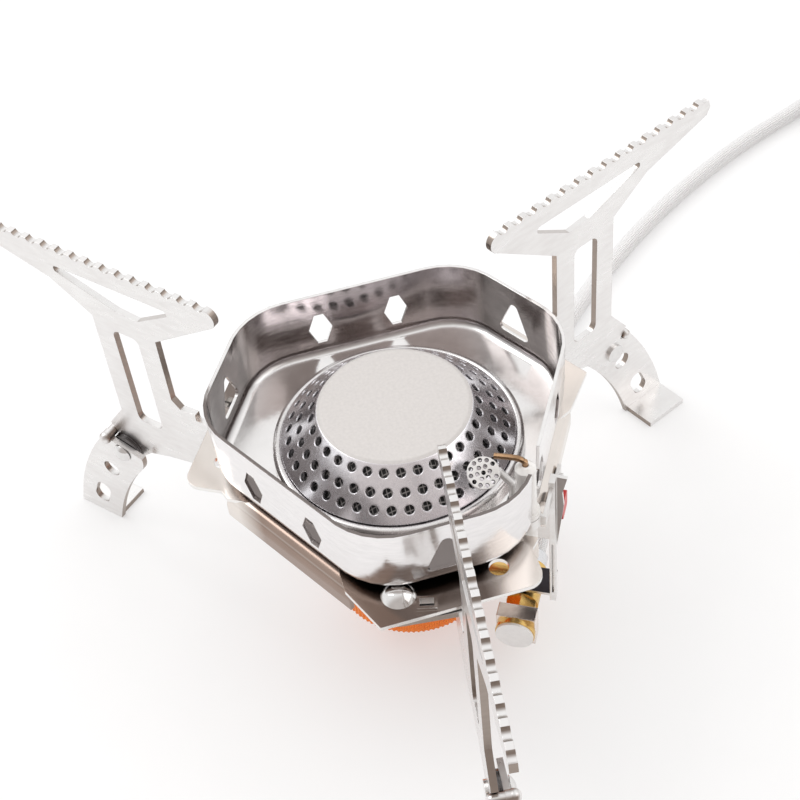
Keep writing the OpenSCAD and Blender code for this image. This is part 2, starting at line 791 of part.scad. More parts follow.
module inlet_ferrule() {
    color("silver") at_inlet() translate([0, 0, ferrule_from]) difference() {
        cylinder(r = 3.3, h = hose_start - ferrule_from);
        translate([0, 0, -1]) cylinder(r = 1.55, h = hose_start - ferrule_from - 0.2);
    }
}

// hose and valve
module hose_run() {
    color("lightgray") at_burner() tube(smooth(hose_route, 3), hose_d, 10, [0, 0, 1]);
}

module hose_coil() {
    rings = 24;
    steps = coil_loops * rings;
    first = coil_entry - coil_tail * away;
    last = coil_end - coil_tail * away;
    wound = [for (i = [0:steps])
        let (out = coil_r + coil_step / 2 - coil_step * min(i, steps - i) / rings,
            climb = max(0, min(1, (i - rings) / (steps - 2 * rings))),
            a = coil_turn + 90 - 360 * i / rings)
        [coil_mid.x + out * cos(a), coil_mid.y + out * sin(a),
            coil_z + coil_step * (1 - cos(180 * climb)) / 2]];
    route = concat([[first.x, first.y, coil_z]], wound, [[last.x, last.y, coil_top]]);
    near = [for (i = [0:len(route) - 1], j = [i + 12:1:len(route) - 1]) norm(route[i] - route[j])];
    echo(least_gap = min(near) - hose_d);
    color("lightgray") at_burner() tube(route, hose_d, 6, [0, 0, 1]);
}

module hose_tie() {
    turn = coil_turn + 90 - 270;
    out = coil_r + coil_step / 2 - 0.75 * coil_step;
    tall = coil_step + hose_d;
    color("dimgray") at_burner() translate(coil_mid) rotate(turn) translate([out, 0, 0]) difference() {
        translate([-hose_d / 2 - 0.9, -2, 0.05]) cube([hose_d + 1.8, 4, tall + 1.7]);
        translate([-hose_d / 2 - 0.2, -5, coil_z - hose_d / 2 - 0.15]) cube([hose_d + 0.4, 10, tall + 0.3]);
    }
}

module hose_tail() {
    color("lightgray") at_valve() tube(smooth(tail_route, 3), hose_d, 10, [0, 0, 1]);
}

module valve_ferrule() {
    color("silver") at_valve() translate([9, 0, valve_in_z]) rotate([0, 90, 0]) difference() {
        cylinder(r = 3.3, h = ferrule_end - 9);
        translate([0, 0, -1]) cylinder(r = 1.55, h = ferrule_end - 9);
    }
}

module valve_body() {
    color("silver") at_valve() difference() {
        union() {
            translate([0, 0, 12]) cylinder(r = 6.5, h = 14);
            translate([0, 0, valve_in_z]) rotate([0, 90, 0]) cylinder(r = 3.4, h = 9);
            translate([0, 0, valve_in_z]) rotate([0, 90, 0]) cylinder(r = 1.5, h = 18);
            translate([-12, 0, stem_z]) rotate([0, 90, 0]) cylinder(r = 3.8, h = 10);
        }
        translate([0, 0, 5]) cylinder(r = 1, h = stem_z - 5);
        translate([0, 0, valve_in_z]) rotate([0, 90, 0]) cylinder(r = 0.8, h = 30);
        translate([-20, 0, stem_z]) rotate([0, 90, 0]) cylinder(r = 1.85, h = 19);
    }
}

module valve_collar() {
    color("silver") at_valve() difference() {
        rotate_extrude() polygon([[0, 0], [17, 0], [17, 3.5], [9.5, 12], [0, 12]]);
        translate([0, 0, -1]) cylinder(r = thread_r, h = thread_depth + 1);
        translate([0, 0, thread_depth]) cylinder(r = thread_r + 0.35, h = 1.7);
        translate([0, 0, 5]) cylinder(r = 1.5, h = 10);
    }
}

module valve_seal() {
    color("black") at_valve() translate([0, 0, thread_depth + 0.85]) rotate_extrude()
        translate([4.6, 0]) circle(0.8, $fn = 20);
}

module valve_pin() {
    color("goldenrod") at_valve() {
        translate([0, 0, thread_depth + 0.2]) cylinder(r = 0.9, h = 4);
        translate([0, 0, thread_depth + 2]) cylinder(r = 1.45, h = 1);
    }
}

module valve_stem() {
    color("silver") at_valve() translate([0, 0, stem_z]) rotate([0, -90, 0]) {
        translate([0, 0, 4]) cylinder(r = 1.8, h = 12);
        translate([0, 0, 2]) cylinder(r1 = 0.5, r2 = 1.8, h = 2);
    }
}

module valve_knob() {
    color("dimgray") at_valve() translate([-12.4, 0, stem_z]) rotate([0, -90, 0]) difference() {
        cylinder(r = 8, h = 9);
        for (i = [0:7]) rotate(45 * i) translate([9.4, 0, -1]) cylinder(r = 2.4, h = 20);
        translate([0, 0, -1]) cylinder(r = 1.82, h = 4.6);
        translate([0, 0, 1]) cylinder(r = 1, h = 20);
        translate([0, 0, 7]) cylinder(r = 2.6, h = 20);
    }
}

module knob_screw() {
    color("gray") at_valve() translate([-16, 0, stem_z]) rotate([0, -90, 0]) difference() {
        union() {
            cylinder(r = 0.98, h = 4);
            translate([0, 0, 3.4]) cylinder(r = 2.2, h = 1.4);
        }
        translate([-3, -0.3, 4.2]) cube([6, 0.6, 2]);
    }
}

base_plate();
support_rivets();
support_washers();
windscreen_pan();
burner_bowl();
burner_ring();
burner_cap();
burner_gauze();
burner_screws();
pillars();
mixing_tube();
mixing_base();
gas_jet();
jet_seal();
inlet_body();
inlet_hexagon();
inlet_block();
inlet_disc();
inlet_plug();
igniter_bracket();
bracket_rivets();
piezo_housing();
igniter_button();
button_spring();
electrode_clip();
electrode_ceramic();
electrode_wire();
ignition_lead();
spark_target();
support_front();
support_right();
support_left();
foot_rivet_front();
foot_rivet_right();
foot_rivet_left();
foot_washers_front();
foot_washers_right();
foot_washers_left();
foot_front();
foot_right();
foot_left();
inlet_ferrule();
hose_run();
hose_coil();
hose_tie();
hose_tail();
valve_ferrule();
valve_body();
valve_collar();
valve_seal();
valve_pin();
valve_stem();
valve_knob();
knob_screw();
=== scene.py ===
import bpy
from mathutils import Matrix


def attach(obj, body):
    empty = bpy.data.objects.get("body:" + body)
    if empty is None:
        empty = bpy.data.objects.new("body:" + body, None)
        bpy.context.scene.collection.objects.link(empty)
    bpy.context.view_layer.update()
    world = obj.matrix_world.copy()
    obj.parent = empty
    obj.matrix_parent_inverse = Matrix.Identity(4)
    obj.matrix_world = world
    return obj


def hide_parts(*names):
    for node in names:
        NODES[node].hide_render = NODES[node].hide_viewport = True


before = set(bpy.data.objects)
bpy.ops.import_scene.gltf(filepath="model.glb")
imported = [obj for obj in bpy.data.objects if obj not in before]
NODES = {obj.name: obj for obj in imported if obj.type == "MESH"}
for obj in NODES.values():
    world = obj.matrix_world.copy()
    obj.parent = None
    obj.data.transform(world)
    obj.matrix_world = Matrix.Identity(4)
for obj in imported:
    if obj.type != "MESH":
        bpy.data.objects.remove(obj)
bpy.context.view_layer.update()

import math

import bpy
from mathutils import Matrix, Vector

MM = 0.001
# the burner's axis in the frame of the whole stove, in millimetres
AXIS = Vector((-5.53, 16.52, 0))
bpy.ops.object.select_all(action="DESELECT")


def row(x, y, z):
    """A point given in millimetres from the foot of the burner's axis."""
    return (Vector((x, y, z)) + AXIS) * MM


# camera at the picture's viewing angle
CAMERA_AT = row(-37.31, -207.53, 291.81)
FOCAL = 67.8
SENSOR = 36
RIGHT = Vector((0.9606, -0.2658, -0.0806))
UP = Vector((0.2479, 0.6894, 0.6807))
LOOK = Vector((0.1254, 0.6738, -0.7282))
lens = bpy.data.cameras.new("camera")
lens.lens = FOCAL
lens.sensor_width = SENSOR
lens.clip_start = 0.01
camera = bpy.data.objects.new("camera", lens)
bpy.context.collection.objects.link(camera)
turn = Matrix((RIGHT, UP, -LOOK)).transposed()
camera.matrix_world = Matrix.Translation(CAMERA_AT) @ turn.to_4x4()
bpy.context.scene.camera = camera

# hose: its route over the table, its coil, and its tail in the frame of the valve
HOSE_D = 4.8
HOSE_Z = 2.5
COIL_Z = 3.3
ROUTE = [(26.44, -8.2, 14.5), (28.76, -4.18, 14.5), (30.3, 1, 13.2), (31, 6.6, 10.2),
         (31.1, 12.4, 6.8), (31.2, 18.2, 4), (31.9, 24.4, 2.6), (34.6, 33.6, HOSE_Z),
         (40, 43.6, HOSE_Z), (47.2, 53.1, HOSE_Z), (60.4, 69.3, HOSE_Z), (75, 83.9, HOSE_Z),
         (85, 92.3, HOSE_Z), (95.6, 100.8, HOSE_Z), (106.7, 108.7, HOSE_Z), (118.1, 116, HOSE_Z),
         (130, 122.7, HOSE_Z), (142.1, 128.7, HOSE_Z), (154.6, 134, HOSE_Z), (166.5, 138.8, 2.9),
         (177.7, 144.4, COIL_Z)]
COIL_TURN = math.radians(31.4)
COIL_ENTRY = Vector((182, 147))
COIL_R = 24.6
COIL_STEP = 5.4
COIL_LOOPS = 2.5
COIL_RINGS = 48
COIL_TOP = COIL_Z + COIL_STEP
VALVE_OUT = 54
VALVE_IN_Z = 16
TAIL = [(49, COIL_TOP), (46.2, COIL_TOP), (43.4, COIL_TOP), (35, 12.4),
        (26.6, VALVE_IN_Z), (23.8, VALVE_IN_Z), (21, VALVE_IN_Z)]
CURVE_STEPS = 4


def smooth(points, steps):
    """Points of a smooth curve through the given ones."""
    points = [Vector(p) for p in points]
    last = len(points) - 1
    out = []
    for i in range(last):
        a, b = points[max(i - 1, 0)], points[i]
        c, d = points[i + 1], points[min(i + 2, last)]
        for k in range(steps):
            u = k / steps
            out.append(0.5 * (2 * b + (c - a) * u + (2 * a - 5 * b + 4 * c - d) * u ** 2
                              + (3 * b - a - 3 * c + d) * u ** 3))
    return out + [points[last]]


away = Vector((math.cos(COIL_TURN), math.sin(COIL_TURN)))
coil_mid = COIL_ENTRY + (COIL_R + COIL_STEP / 2) * Vector((away.y, -away.x))
coil_end = 2 * coil_mid - COIL_ENTRY
valve_at = coil_end - VALVE_OUT * away
coil = []
coil_steps = int(COIL_LOOPS * COIL_RINGS)
for i in range(coil_steps + 1):
    out = COIL_R + COIL_STEP / 2 - COIL_STEP * min(i, coil_steps - i) / COIL_RINGS
    climb = max(0, min(1, (i - COIL_RINGS) / (coil_steps - 2 * COIL_RINGS)))
    turned = COIL_TURN + math.pi / 2 - 2 * math.pi * i / COIL_RINGS
    coil.append(Vector((coil_mid.x + out * math.cos(turned), coil_mid.y + out * math.sin(turned),
                        COIL_Z + COIL_STEP * (1 - math.cos(math.pi * climb)) / 2)))
tail = smooth([(*(valve_at + x * away), z) for x, z in TAIL], CURVE_STEPS)
path = [row(*p) for p in smooth(ROUTE, CURVE_STEPS) + coil + tail]
line = bpy.data.curves.new("gas_hose", "CURVE")
line.dimensions = "3D"
line.bevel_depth = HOSE_D / 2 * MM
line.bevel_resolution = 6
spline = line.splines.new("POLY")
spline.points.add(len(path) - 1)
for point, place in zip(spline.points, path):
    point.co = (*place, 1)
hose = bpy.data.objects.new("gas_hose", line)
bpy.context.collection.objects.link(hose)
bpy.context.view_layer.objects.active = hose
hose.select_set(True)
bpy.ops.object.convert(target="MESH")
hose = bpy.context.object
bpy.ops.object.shade_smooth()
bpy.ops.object.select_all(action="DESELECT")
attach(hose, "stove")
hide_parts("hose_run", "hose_coil", "hose_tail")

# how far along the hose each ring lies, and where on the ring each corner is
rings = len(path)
sides = len(hose.data.vertices) // rings
along = hose.data.attributes.new("along", "FLOAT", "POINT")
across = hose.data.attributes.new("across", "FLOAT", "POINT")
upward = hose.data.attributes.new("upward", "FLOAT", "POINT")
run = 0
for i in range(rings):
    run += (path[i] - path[i - 1]).length if i else 0
    for k in range(sides):
        spot = i * sides + k
        along.data[spot].value = run
        across.data[spot].value = math.cos(2 * math.pi * k / sides)
        upward.data[spot].value = math.sin(2 * math.pi * k / sides)


# materials
def grain_group():
    """Fine grain that shifts a colour, its roughness and the height of the surface."""
    group = bpy.data.node_groups.new("grain", "ShaderNodeTree")
    face = group.interface
    face.new_socket("Color", in_out="INPUT", socket_type="NodeSocketColor")
    face.new_socket("Shade", in_out="INPUT", socket_type="NodeSocketColor")
    face.new_socket("Stretch", in_out="INPUT", socket_type="NodeSocketVector")
    face.new_socket("Smooth", in_out="INPUT", socket_type="NodeSocketFloat")
    face.new_socket("Rough", in_out="INPUT", socket_type="NodeSocketFloat")
    face.new_socket("Color", in_out="OUTPUT", socket_type="NodeSocketColor")
    face.new_socket("Roughness", in_out="OUTPUT", socket_type="NodeSocketFloat")
    face.new_socket("Height", in_out="OUTPUT", socket_type="NodeSocketFloat")
    nodes, links = group.nodes, group.links
    given, made = nodes.new("NodeGroupInput"), nodes.new("NodeGroupOutput")
    place = nodes.new("ShaderNodeTexCoord")
    stretch = nodes.new("ShaderNodeVectorMath")
    stretch.operation = "MULTIPLY"
    links.new(place.outputs["Object"], stretch.inputs[0])
    links.new(given.outputs["Stretch"], stretch.inputs[1])
    fine = nodes.new("ShaderNodeTexNoise")
    fine.inputs["Scale"].default_value = 1
    fine.inputs["Detail"].default_value = 5
    links.new(stretch.outputs[0], fine.inputs["Vector"])
    broad = nodes.new("ShaderNodeTexNoise")
    broad.inputs["Scale"].default_value = 60
    broad.inputs["Detail"].default_value = 3
    links.new(place.outputs["Object"], broad.inputs["Vector"])
    blend = nodes.new("ShaderNodeMath")
    blend.operation = "ADD"
    links.new(fine.outputs["Fac"], blend.inputs[0])
    links.new(broad.outputs["Fac"], blend.inputs[1])
    spread = nodes.new("ShaderNodeMapRange")
    spread.inputs["From Min"].default_value = 0.7
    spread.inputs["From Max"].default_value = 1.3
    links.new(blend.outputs[0], spread.inputs["Value"])
    mix = nodes.new("ShaderNodeMix")
    mix.data_type = "RGBA"
    links.new(spread.outputs[0], mix.inputs["Factor"])
    links.new(given.outputs["Color"], mix.inputs["A"])
    links.new(given.outputs["Shade"], mix.inputs["B"])
    rough = nodes.new("ShaderNodeMapRange")
    links.new(spread.outputs[0], rough.inputs["Value"])
    links.new(given.outputs["Smooth"], rough.inputs["To Min"])
    links.new(given.outputs["Rough"], rough.inputs["To Max"])
    links.new(mix.outputs["Result"], made.inputs["Color"])
    links.new(rough.outputs[0], made.inputs["Roughness"])
    links.new(fine.outputs["Fac"], made.inputs["Height"])
    return group


GRAIN = grain_group()
GRAIN_DIM = 0.8
UPWARD = (0, 0, 1)


class Finish:
    """A material whose grain feeds one principled shader, with softly rounded edges."""

    def __init__(self, name, color, shade, metallic, rough,
                 stretch=(900, 900, 900), bump=0.05, edge=0.15):
        self.made = bpy.data.materials.new(name)
        self.made.use_nodes = True
        self.nodes, self.links = self.made.node_tree.nodes, self.made.node_tree.links
        self.shader = self.nodes["Principled BSDF"]
        self.grain = self.nodes.new("ShaderNodeGroup")
        self.grain.node_tree = GRAIN
        self.grain.inputs["Color"].default_value = (*color, 1)
        self.grain.inputs["Shade"].default_value = (*shade, 1)
        self.grain.inputs["Stretch"].default_value = stretch
        self.grain.inputs["Smooth"].default_value = rough[0]
        self.grain.inputs["Rough"].default_value = rough[1]
        self.shader.inputs["Metallic"].default_value = metallic
        self.links.new(self.grain.outputs["Color"], self.shader.inputs["Base Color"])
        self.links.new(self.grain.outputs["Roughness"], self.shader.inputs["Roughness"])
        self.bump = self.nodes.new("ShaderNodeBump")
        self.bump.inputs["Strength"].default_value = bump
        self.bump.inputs["Distance"].default_value = 0.0002
        self.links.new(self.grain.outputs["Height"], self.bump.inputs["Height"])
        self.links.new(self.bump.outputs["Normal"], self.shader.inputs["Normal"])
        if edge:
            round_edge = self.nodes.new("ShaderNodeBevel")
            round_edge.samples = 4
            round_edge.inputs["Radius"].default_value = edge * MM
            self.links.new(round_edge.outputs["Normal"], self.bump.inputs["Normal"])
        self.place = self.nodes.new("ShaderNodeTexCoord")

    def math(self, operation, *given):
        """The output of a math node that is fed with sockets and numbers."""
        new = self.nodes.new("ShaderNodeMath")
        new.operation = operation
        for socket, value in zip(new.inputs, given):
            self.give(socket, value)
        return new.outputs[0]

    def vector(self, operation, first, second=(0, 0, 0)):
        """The output of a vector math node, a number where the operation gives one."""
        new = self.nodes.new("ShaderNodeVectorMath")
        new.operation = operation
        self.give(new.inputs[0], first)
        self.give(new.inputs[1], second)
        return new.outputs["Value" if operation in ("DOT_PRODUCT", "LENGTH") else "Vector"]

    def give(self, socket, value):
        """Links a socket to another one, or sets it to a plain value."""
        if isinstance(value, bpy.types.NodeSocket):
            self.links.new(value, socket)
        else:
            socket.default_value = value

    def both(self, first, second):
        """1 where both factors are 1."""
        return self.math("MULTIPLY", first, second)

    def without(self, factor):
        """1 where a factor is 0, and 0 where it is 1."""
        return self.math("SUBTRACT", 1.0, factor)

    def ramp(self, value, low, high):
        """0 up to low, 1 from high on."""
        new = self.nodes.new("ShaderNodeMapRange")
        new.inputs["From Min"].default_value = low
        new.inputs["From Max"].default_value = high
        self.links.new(value, new.inputs["Value"])
        return new.outputs[0]

    def facing(self, way, low, high):
        """How far a face of the object looks along a direction, or against it."""
        turned = self.vector("DOT_PRODUCT", self.place.outputs["Normal"], way)
        return self.ramp(self.math("ABSOLUTE", turned), low, high)

    def height(self):
        """The height over the table."""
        return self.vector("DOT_PRODUCT", self.place.outputs["Object"], UPWARD)

    def off_axis(self):
        """The level way from the burner's axis to the surface."""
        level = self.vector("MULTIPLY", self.place.outputs["Object"], (1, 1, 0))
        return self.vector("SUBTRACT", level, AXIS * MM)

    def from_axis(self):
        """The distance from the burner's axis."""
        return self.vector("LENGTH", self.off_axis())

    def across(self, way):
        """The distance from the burner's axis along a level direction."""
        return self.vector("DOT_PRODUCT", self.off_axis(), way)

    def outside(self):
        """1 where a wall looks away from the burner's axis, 0 where it looks at it."""
        outward = self.vector("DOT_PRODUCT", self.place.outputs["Normal"], self.off_axis())
        return self.ramp(outward, -0.001, 0.001)

    def mix(self, kind, factor, first, second):
        """The output of a mix of two colours or two numbers, each given as it is or as a socket."""
        new = self.nodes.new("ShaderNodeMix")
        new.data_type = kind
        inputs = [i for i in new.inputs if i.type == kind.replace("FLOAT", "VALUE")][-2:]
        self.give(new.inputs[0], factor)
        self.give(inputs[0], first)
        self.give(inputs[1], second)
        return [o for o in new.outputs if o.type == inputs[0].type][0]

    def blend(self, factor, color=None, metallic=None, rough=None):
        """Mixes the surface with another one by a factor, with the grain's tone in its colour."""
        if color:
            dim = [GRAIN_DIM * c for c in color]
            color = self.mix("RGBA", self.grain.outputs["Height"], (*dim, 1), (*color, 1))
        for socket, kind, value in (("Base Color", "RGBA", color), ("Metallic", "FLOAT", metallic),
                                    ("Roughness", "FLOAT", rough)):
            if value is None:
                continue
            taken = self.shader.inputs[socket]
            first = taken.links[0].from_socket if taken.links else taken.default_value
            self.links.new(self.mix(kind, factor, first, value), taken)


def put(finish, *names):
    """Gives the named nodes one finish."""
    for name in names:
        mesh = NODES[name].data
        mesh.materials.clear()
        mesh.materials.append(finish.made)


def plate_way(angle):
    """The direction across an upright plate that points outward at an angle."""
    turned = math.radians(angle)
    return -math.sin(turned), math.cos(turned), 0


def cut_sheet(name, angle):
    """Bright sheet for an upright plate, with painted shade on its cut edges, except where they look upward
    into the light.
    """
    sheet = Finish(name, (0.86, 0.85, 0.84), (0.79, 0.77, 0.76), 1, (0.24, 0.36), ROLLED)
    # painted shade on the cut edges that face sideways
    sideways = sheet.without(sheet.facing(plate_way(angle), 0.3, 0.7))
    level = sheet.without(sheet.facing(UPWARD, 0.75, 0.95))
    sheet.blend(sheet.both(sideways, level), (0.38, 0.32, 0.28), None, 0.30)
    return sheet


# grain of rolled sheet, of the drawn pan and of turned burner parts
ROLLED = (250, 250, 900)
DRAWN = (300, 300, 1400)
TURNED = (1500, 1500, 300)
# the way each support points, in degrees
SWUNG = {"front": 263, "right": 25, "left": 132}
# level directions from the burner's axis
TO_IGNITER = (0.866, -0.5, 0)
ALONG_IGNITER = (0.5, 0.866, 0)
TO_NEAR_LEFT = (-0.866, -0.5, 0)
TO_FRONT = (0, -1, 0)
TO_FAR = (0, 1, 0)
TO_RIGHT = (1, 0, 0)
TO_LEFT = (-1, 0, 0)
# where tones begin and are full, in metres from the axis or over the table
GUSSET_FROM = (0.0345, 0.0347)
ARM_BELOW = (0.032, 0.030)
FLANGE_FROM = (0.0300, 0.0312)
PLATE_RIGHT = (0.006, 0.011)
PLATE_LEFT = (0.032, 0.036)
PLATE_TOP = (0.0516, 0.0518)
WALL_FADE = (-0.025, 0.02)
NEAR_FLOOR = (0.0245, 0.0275)
TOP_DISC_R = 0.0161
TARGET_R = 0.0031
TARGET_AT = row(12, -22.2, 65)
TARGET_WAY = (0, -0.5, 0.866)
WIRE_PITCH = 0.9 * MM

# igniter bracket: painted shade darkens the side flange and the top of its low arm
bracket_steel = Finish("bracket_steel", (0.86, 0.85, 0.84), (0.80, 0.78, 0.76), 1, (0.26, 0.38), ROLLED)
gusset_shade = bracket_steel.both(bracket_steel.facing(ALONG_IGNITER, 0.6, 0.9),
                            bracket_steel.ramp(bracket_steel.across(TO_IGNITER), *GUSSET_FROM))
bracket_steel.blend(gusset_shade, (0.33, 0.29, 0.27))
# painted shade, near black, on the top of the low arm
arm_top_shade = bracket_steel.both(bracket_steel.facing(UPWARD, 0.6, 0.9),
                             bracket_steel.ramp(bracket_steel.height(), *ARM_BELOW))
bracket_steel.blend(arm_top_shade, (0.07, 0.065, 0.075))

# base plate: painted shade makes it dark in front, a painted warm reflection lies on the near left edge,
# and painted highlights make it pale to the sides and on its rim
plate_steel = Finish("plate_steel", (0.28, 0.23, 0.205), (0.17, 0.14, 0.125), 1, (0.12, 0.26),
                     (130, 130, 130))
# painted warm reflection on the near left flange
flange_reflection = plate_steel.ramp(plate_steel.across(TO_NEAR_LEFT), *FLANGE_FROM)
plate_steel.blend(flange_reflection, (0.36, 0.27, 0.225))
# painted highlights to the left and right
plate_side_highlight = plate_steel.math("MAXIMUM", plate_steel.ramp(plate_steel.across(TO_RIGHT), *PLATE_RIGHT),
                               plate_steel.ramp(plate_steel.across(TO_LEFT), *PLATE_LEFT))
plate_steel.blend(plate_side_highlight, (0.86, 0.80, 0.75))
# painted highlight on the rim
plate_rim_highlight = plate_steel.both(plate_steel.without(plate_steel.facing(UPWARD, 0.3, 0.7)),
                             plate_steel.ramp(plate_steel.height(), *PLATE_TOP))
plate_steel.blend(plate_rim_highlight, (0.96, 0.94, 0.92))

# pan: painted reflection and shade: dark inside, a lighter far wall, bright outside and a bright floor,
# with painted shade on the floor along its near walls
pan_steel = Finish("pan_steel", (0.24, 0.215, 0.21), (0.16, 0.145, 0.14), 1, (0.10, 0.22), DRAWN,
                   0.08, 0.25)
# painted reflection on the far wall, lightest to the right, and on the outside and the floor
long_wall = pan_steel.facing(TO_FAR, 0.6, 0.95)
pan_steel.blend(long_wall, (0.38, 0.34, 0.33))
wall_right = pan_steel.both(long_wall, pan_steel.ramp(pan_steel.across(TO_RIGHT), *WALL_FADE))
pan_steel.blend(wall_right, (0.58, 0.52, 0.51))
pan_steel.blend(pan_steel.outside(), (0.96, 0.94, 0.94))
pan_floor = pan_steel.facing(UPWARD, 0.6, 0.95)
pan_steel.blend(pan_floor, (0.98, 0.96, 0.95))
# painted shade on the floor along the near walls
near_edge = pan_steel.math("MAXIMUM", pan_steel.across(TO_NEAR_LEFT), pan_steel.across(TO_FRONT))
pan_steel.blend(pan_steel.both(pan_floor, pan_steel.ramp(near_edge, *NEAR_FLOOR)), (0.24, 0.21, 0.20))

# burner: bright cone with a dull pale disc on top
ring_steel = Finish("ring_steel", (0.80, 0.78, 0.78), (0.70, 0.68, 0.67), 1, (0.20, 0.32))
burner_steel = Finish("burner_steel", (0.60, 0.58, 0.62), (0.48, 0.47, 0.51), 1, (0.26, 0.38), TURNED)
cap_steel = Finish("cap_steel", (0.96, 0.94, 0.97), (0.86, 0.84, 0.88), 1, (0.20, 0.32), TURNED, 0.05, 0.45)
top_disc = cap_steel.both(cap_steel.math("LESS_THAN", cap_steel.from_axis(), TOP_DISC_R),
                          cap_steel.facing(UPWARD, 0.5, 0.9))
cap_steel.blend(top_disc, (0.68, 0.65, 0.63), 0.1, 0.5)

# spark target: painted shade darkens the walls of its holes
target_steel = Finish("target_steel", (0.92, 0.91, 0.90), (0.84, 0.83, 0.82), 0.5, (0.3, 0.4))
off_target = target_steel.vector("SUBTRACT", target_steel.place.outputs["Object"], TARGET_AT)
in_target = target_steel.math("LESS_THAN", target_steel.vector("LENGTH", off_target), TARGET_R)
target_wall_shade = target_steel.without(target_steel.facing(TARGET_WAY, 0.3, 0.7))
target_steel.blend(target_steel.both(in_target, target_wall_shade), (0.03, 0.03, 0.03), 0.0, 0.6)

# gauze: two sets of wires over a ground painted dark as shade between them
gauze = Finish("gauze", (0.03, 0.03, 0.03), (0.01, 0.01, 0.01), 0.2, (0.5, 0.7), (3000, 3000, 3000), 0.4, 0)
wires = []
for way in ((2 * math.pi / WIRE_PITCH, 0, 0), (0, 2 * math.pi / WIRE_PITCH, 0)):
    wave = gauze.math("SINE", gauze.vector("DOT_PRODUCT", gauze.place.outputs["Object"], way))
    wires.append(gauze.ramp(wave, 0.7, 0.95))
gauze.blend(gauze.math("MAXIMUM", *wires), (0.38, 0.37, 0.36), 0.9, 0.35)

# plain finishes
rivet_steel = Finish("bright_rivet", (0.80, 0.79, 0.78), (0.72, 0.71, 0.70), 1, (0.06, 0.12))
spring_steel = Finish("dark_spring", (0.17, 0.16, 0.16), (0.08, 0.075, 0.075), 1, (0.10, 0.20))
anodised = Finish("anodised", (0.95, 0.25, 0.02), (0.82, 0.19, 0.02), 0.6, (0.22, 0.34))
brass = Finish("brass", (0.80, 0.54, 0.20), (0.66, 0.42, 0.13), 1, (0.18, 0.32))
fitting_steel = Finish("fitting_steel", (0.90, 0.82, 0.77), (0.76, 0.68, 0.63), 1, (0.14, 0.26), edge=0.3)
screw_steel = Finish("screw_steel", (0.76, 0.75, 0.74), (0.64, 0.63, 0.62), 1, (0.2, 0.34))
pale_metal = Finish("pale_metal", (0.92, 0.91, 0.90), (0.86, 0.85, 0.84), 0.2, (0.3, 0.4))
ceramic = Finish("ceramic", (0.90, 0.89, 0.87), (0.84, 0.82, 0.79), 0, (0.12, 0.22))
bronze = Finish("bronze_wire", (0.48, 0.30, 0.17), (0.30, 0.18, 0.10), 1, (0.25, 0.4), edge=0)
red = Finish("red_plastic", (0.70, 0.03, 0.02), (0.55, 0.02, 0.02), 0, (0.25, 0.4))
black = Finish("black_plastic", (0.045, 0.045, 0.045), (0.025, 0.025, 0.025), 0, (0.4, 0.6),
               (1800, 1800, 1800), 0.1)
rubber = Finish("rubber_black", (0.03, 0.03, 0.03), (0.015, 0.015, 0.015), 0, (0.5, 0.7), edge=0)
valve_metal = Finish("valve_metal", (0.76, 0.76, 0.77), (0.62, 0.62, 0.64), 1, (0.24, 0.38))

# braid of the hose: two sets of strands that wind both ways round it
STRANDS = 12
braid = Finish("hose_braid", (0.97, 0.97, 0.97), (0.93, 0.92, 0.92), 0.1, (0.28, 0.42), edge=0)
run_way, turn_x, turn_y = [braid.nodes.new("ShaderNodeAttribute") for _ in range(3)]
run_way.attribute_name = "along"
turn_x.attribute_name = "across"
turn_y.attribute_name = "upward"
turned = braid.math("ARCTAN2", turn_y.outputs["Fac"], turn_x.outputs["Fac"])
round_it = braid.math("MULTIPLY", turned, STRANDS)
onward = braid.math("MULTIPLY", run_way.outputs["Fac"], STRANDS / (HOSE_D / 2 * MM))
strand_a = braid.math("SINE", braid.math("ADD", onward, round_it))
strand_b = braid.math("SINE", braid.math("SUBTRACT", onward, round_it))
woven = braid.math("MULTIPLY", strand_a, strand_b)
braid.blend(braid.ramp(braid.math("ABSOLUTE", woven), 0.4, 0.0), (0.76, 0.75, 0.75))
braid.links.new(woven, braid.bump.inputs["Height"])
braid.bump.inputs["Strength"].default_value = 0.7

# which node has which finish
put(plate_steel, "base_plate")
put(pan_steel, "windscreen_pan")
put(ring_steel, "burner_ring")
put(cap_steel, "burner_cap")
put(burner_steel, "burner_bowl", "mixing_tube")
put(gauze, "burner_gauze")
put(screw_steel, "burner_screws", "pillars", "button_spring", "valve_stem", "knob_screw")
put(anodised, "mixing_base")
put(brass, "gas_jet", "inlet_body", "inlet_hexagon", "inlet_disc", "valve_pin")
put(fitting_steel, "inlet_block")
put(pale_metal, "inlet_plug")
put(rubber, "jet_seal", "ignition_lead", "valve_seal")
put(bracket_steel, "igniter_bracket", "electrode_clip")
put(target_steel, "spark_target")
put(rivet_steel, "bracket_rivets", "support_rivets")
put(spring_steel, "support_washers")
put(black, "piezo_housing", "hose_tie", "valve_knob")
put(red, "igniter_button")
put(ceramic, "electrode_ceramic")
put(bronze, "electrode_wire")
put(valve_metal, "inlet_ferrule", "valve_ferrule", "valve_body", "valve_collar")
for side, angle in SWUNG.items():
    put(cut_sheet("sheet_" + side, angle), "support_" + side, "foot_" + side)
    put(rivet_steel, "foot_rivet_" + side)
    put(spring_steel, "foot_washers_" + side)
hose.data.materials.append(braid.made)

# nodes made of flat facets are joined up and shaded smooth between their sharp edges
JOIN_GAP = 0.00001
SHARP = math.radians(32)
for name in ("windscreen_pan", "button_spring", "electrode_wire", "ignition_lead"):
    bpy.context.view_layer.objects.active = NODES[name]
    NODES[name].select_set(True)
    bpy.ops.mesh.customdata_custom_splitnormals_clear()
    bpy.ops.object.shade_smooth()
    NODES[name].select_set(False)
    join = NODES[name].modifiers.new("join", "WELD")
    join.merge_threshold = JOIN_GAP
    crease = NODES[name].modifiers.new("crease", "EDGE_SPLIT")
    crease.split_angle = SHARP

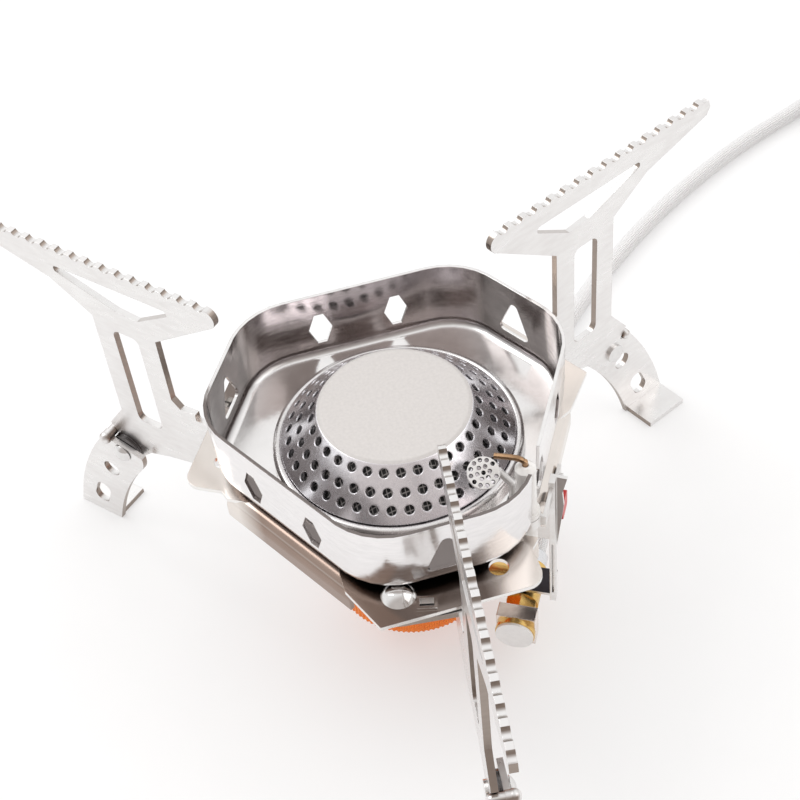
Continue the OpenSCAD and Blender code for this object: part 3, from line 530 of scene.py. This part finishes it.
# floor: its own glow lifts the shade a little where the camera or the metal sees it
FLOOR_GLOW = 0.45
bpy.ops.mesh.primitive_plane_add(size=6, location=(0, 0, 0))
floor = bpy.context.object
floor.name = "floor"
table = Finish("table", (0.92, 0.92, 0.92), (0.90, 0.90, 0.90), 0, (0.5, 0.6), (20, 20, 20), 0, 0)
table.shader.inputs["Specular IOR Level"].default_value = 0.2
glow = table.nodes.new("ShaderNodeEmission")
seen = table.nodes.new("ShaderNodeLightPath")
soften = table.nodes.new("ShaderNodeMixShader")
shown = table.math("MAXIMUM", seen.outputs["Is Camera Ray"], seen.outputs["Is Glossy Ray"])
shown = table.math("MAXIMUM", shown, seen.outputs["Is Transmission Ray"])
table.give(soften.inputs[0], table.math("MULTIPLY", shown, FLOOR_GLOW))
table.give(soften.inputs[1], table.shader.outputs["BSDF"])
table.give(soften.inputs[2], glow.outputs["Emission"])
table.give(table.nodes["Material Output"].inputs["Surface"], soften.outputs["Shader"])
floor.data.materials.append(table.made)

# white all round, but darker on the camera's side for what the metal mirrors
WHITE = (1, 1, 1, 1)
DIM = (0.60, 0.56, 0.54, 1)
world = bpy.data.worlds.new("world")
bpy.context.scene.world = world
world.use_nodes = True
sky, links = world.node_tree.nodes, world.node_tree.links
way = sky.new("ShaderNodeTexCoord")
split = sky.new("ShaderNodeSeparateXYZ")
links.new(way.outputs["Generated"], split.inputs["Vector"])
ahead = sky.new("ShaderNodeMapRange")
ahead.interpolation_type = "SMOOTHSTEP"
ahead.inputs["From Min"].default_value = -0.5
ahead.inputs["From Max"].default_value = 0.1
links.new(split.outputs["Y"], ahead.inputs["Value"])
rays = sky.new("ShaderNodeLightPath")
white = sky.new("ShaderNodeMath")
white.operation = "MAXIMUM"
links.new(ahead.outputs[0], white.inputs[0])
links.new(rays.outputs["Is Camera Ray"], white.inputs[1])
around = sky.new("ShaderNodeMix")
around.data_type = "RGBA"
around.inputs["A"].default_value = DIM
around.inputs["B"].default_value = WHITE
links.new(white.outputs[0], around.inputs["Factor"])
links.new(around.outputs["Result"], sky["Background"].inputs["Color"])
sky["Background"].inputs["Strength"].default_value = 1


def lamp(name, place, aim, size, power):
    """A square soft lamp, with its size in metres and its power in watts."""
    light = bpy.data.lights.new(name, "AREA")
    light.size = size
    light.energy = power
    holder = bpy.data.objects.new(name, light)
    bpy.context.collection.objects.link(holder)
    holder.location = place
    holder.rotation_euler = (Vector(aim) - Vector(place)).to_track_quat("-Z", "Y").to_euler()


lamp("key", (-0.5, 0.5, 0.9), (0, 0, 0.05), 0.6, 3)
lamp("fill", (0.7, -0.3, 0.8), (0, 0, 0.05), 0.8, 1.5)
lamp("overhead", (0.1, -0.2, 1.5), (0.05, 0, 0), 1.6, 4)
bpy.data.objects["overhead"].visible_glossy = False
bpy.context.scene.view_settings.view_transform = "Standard"
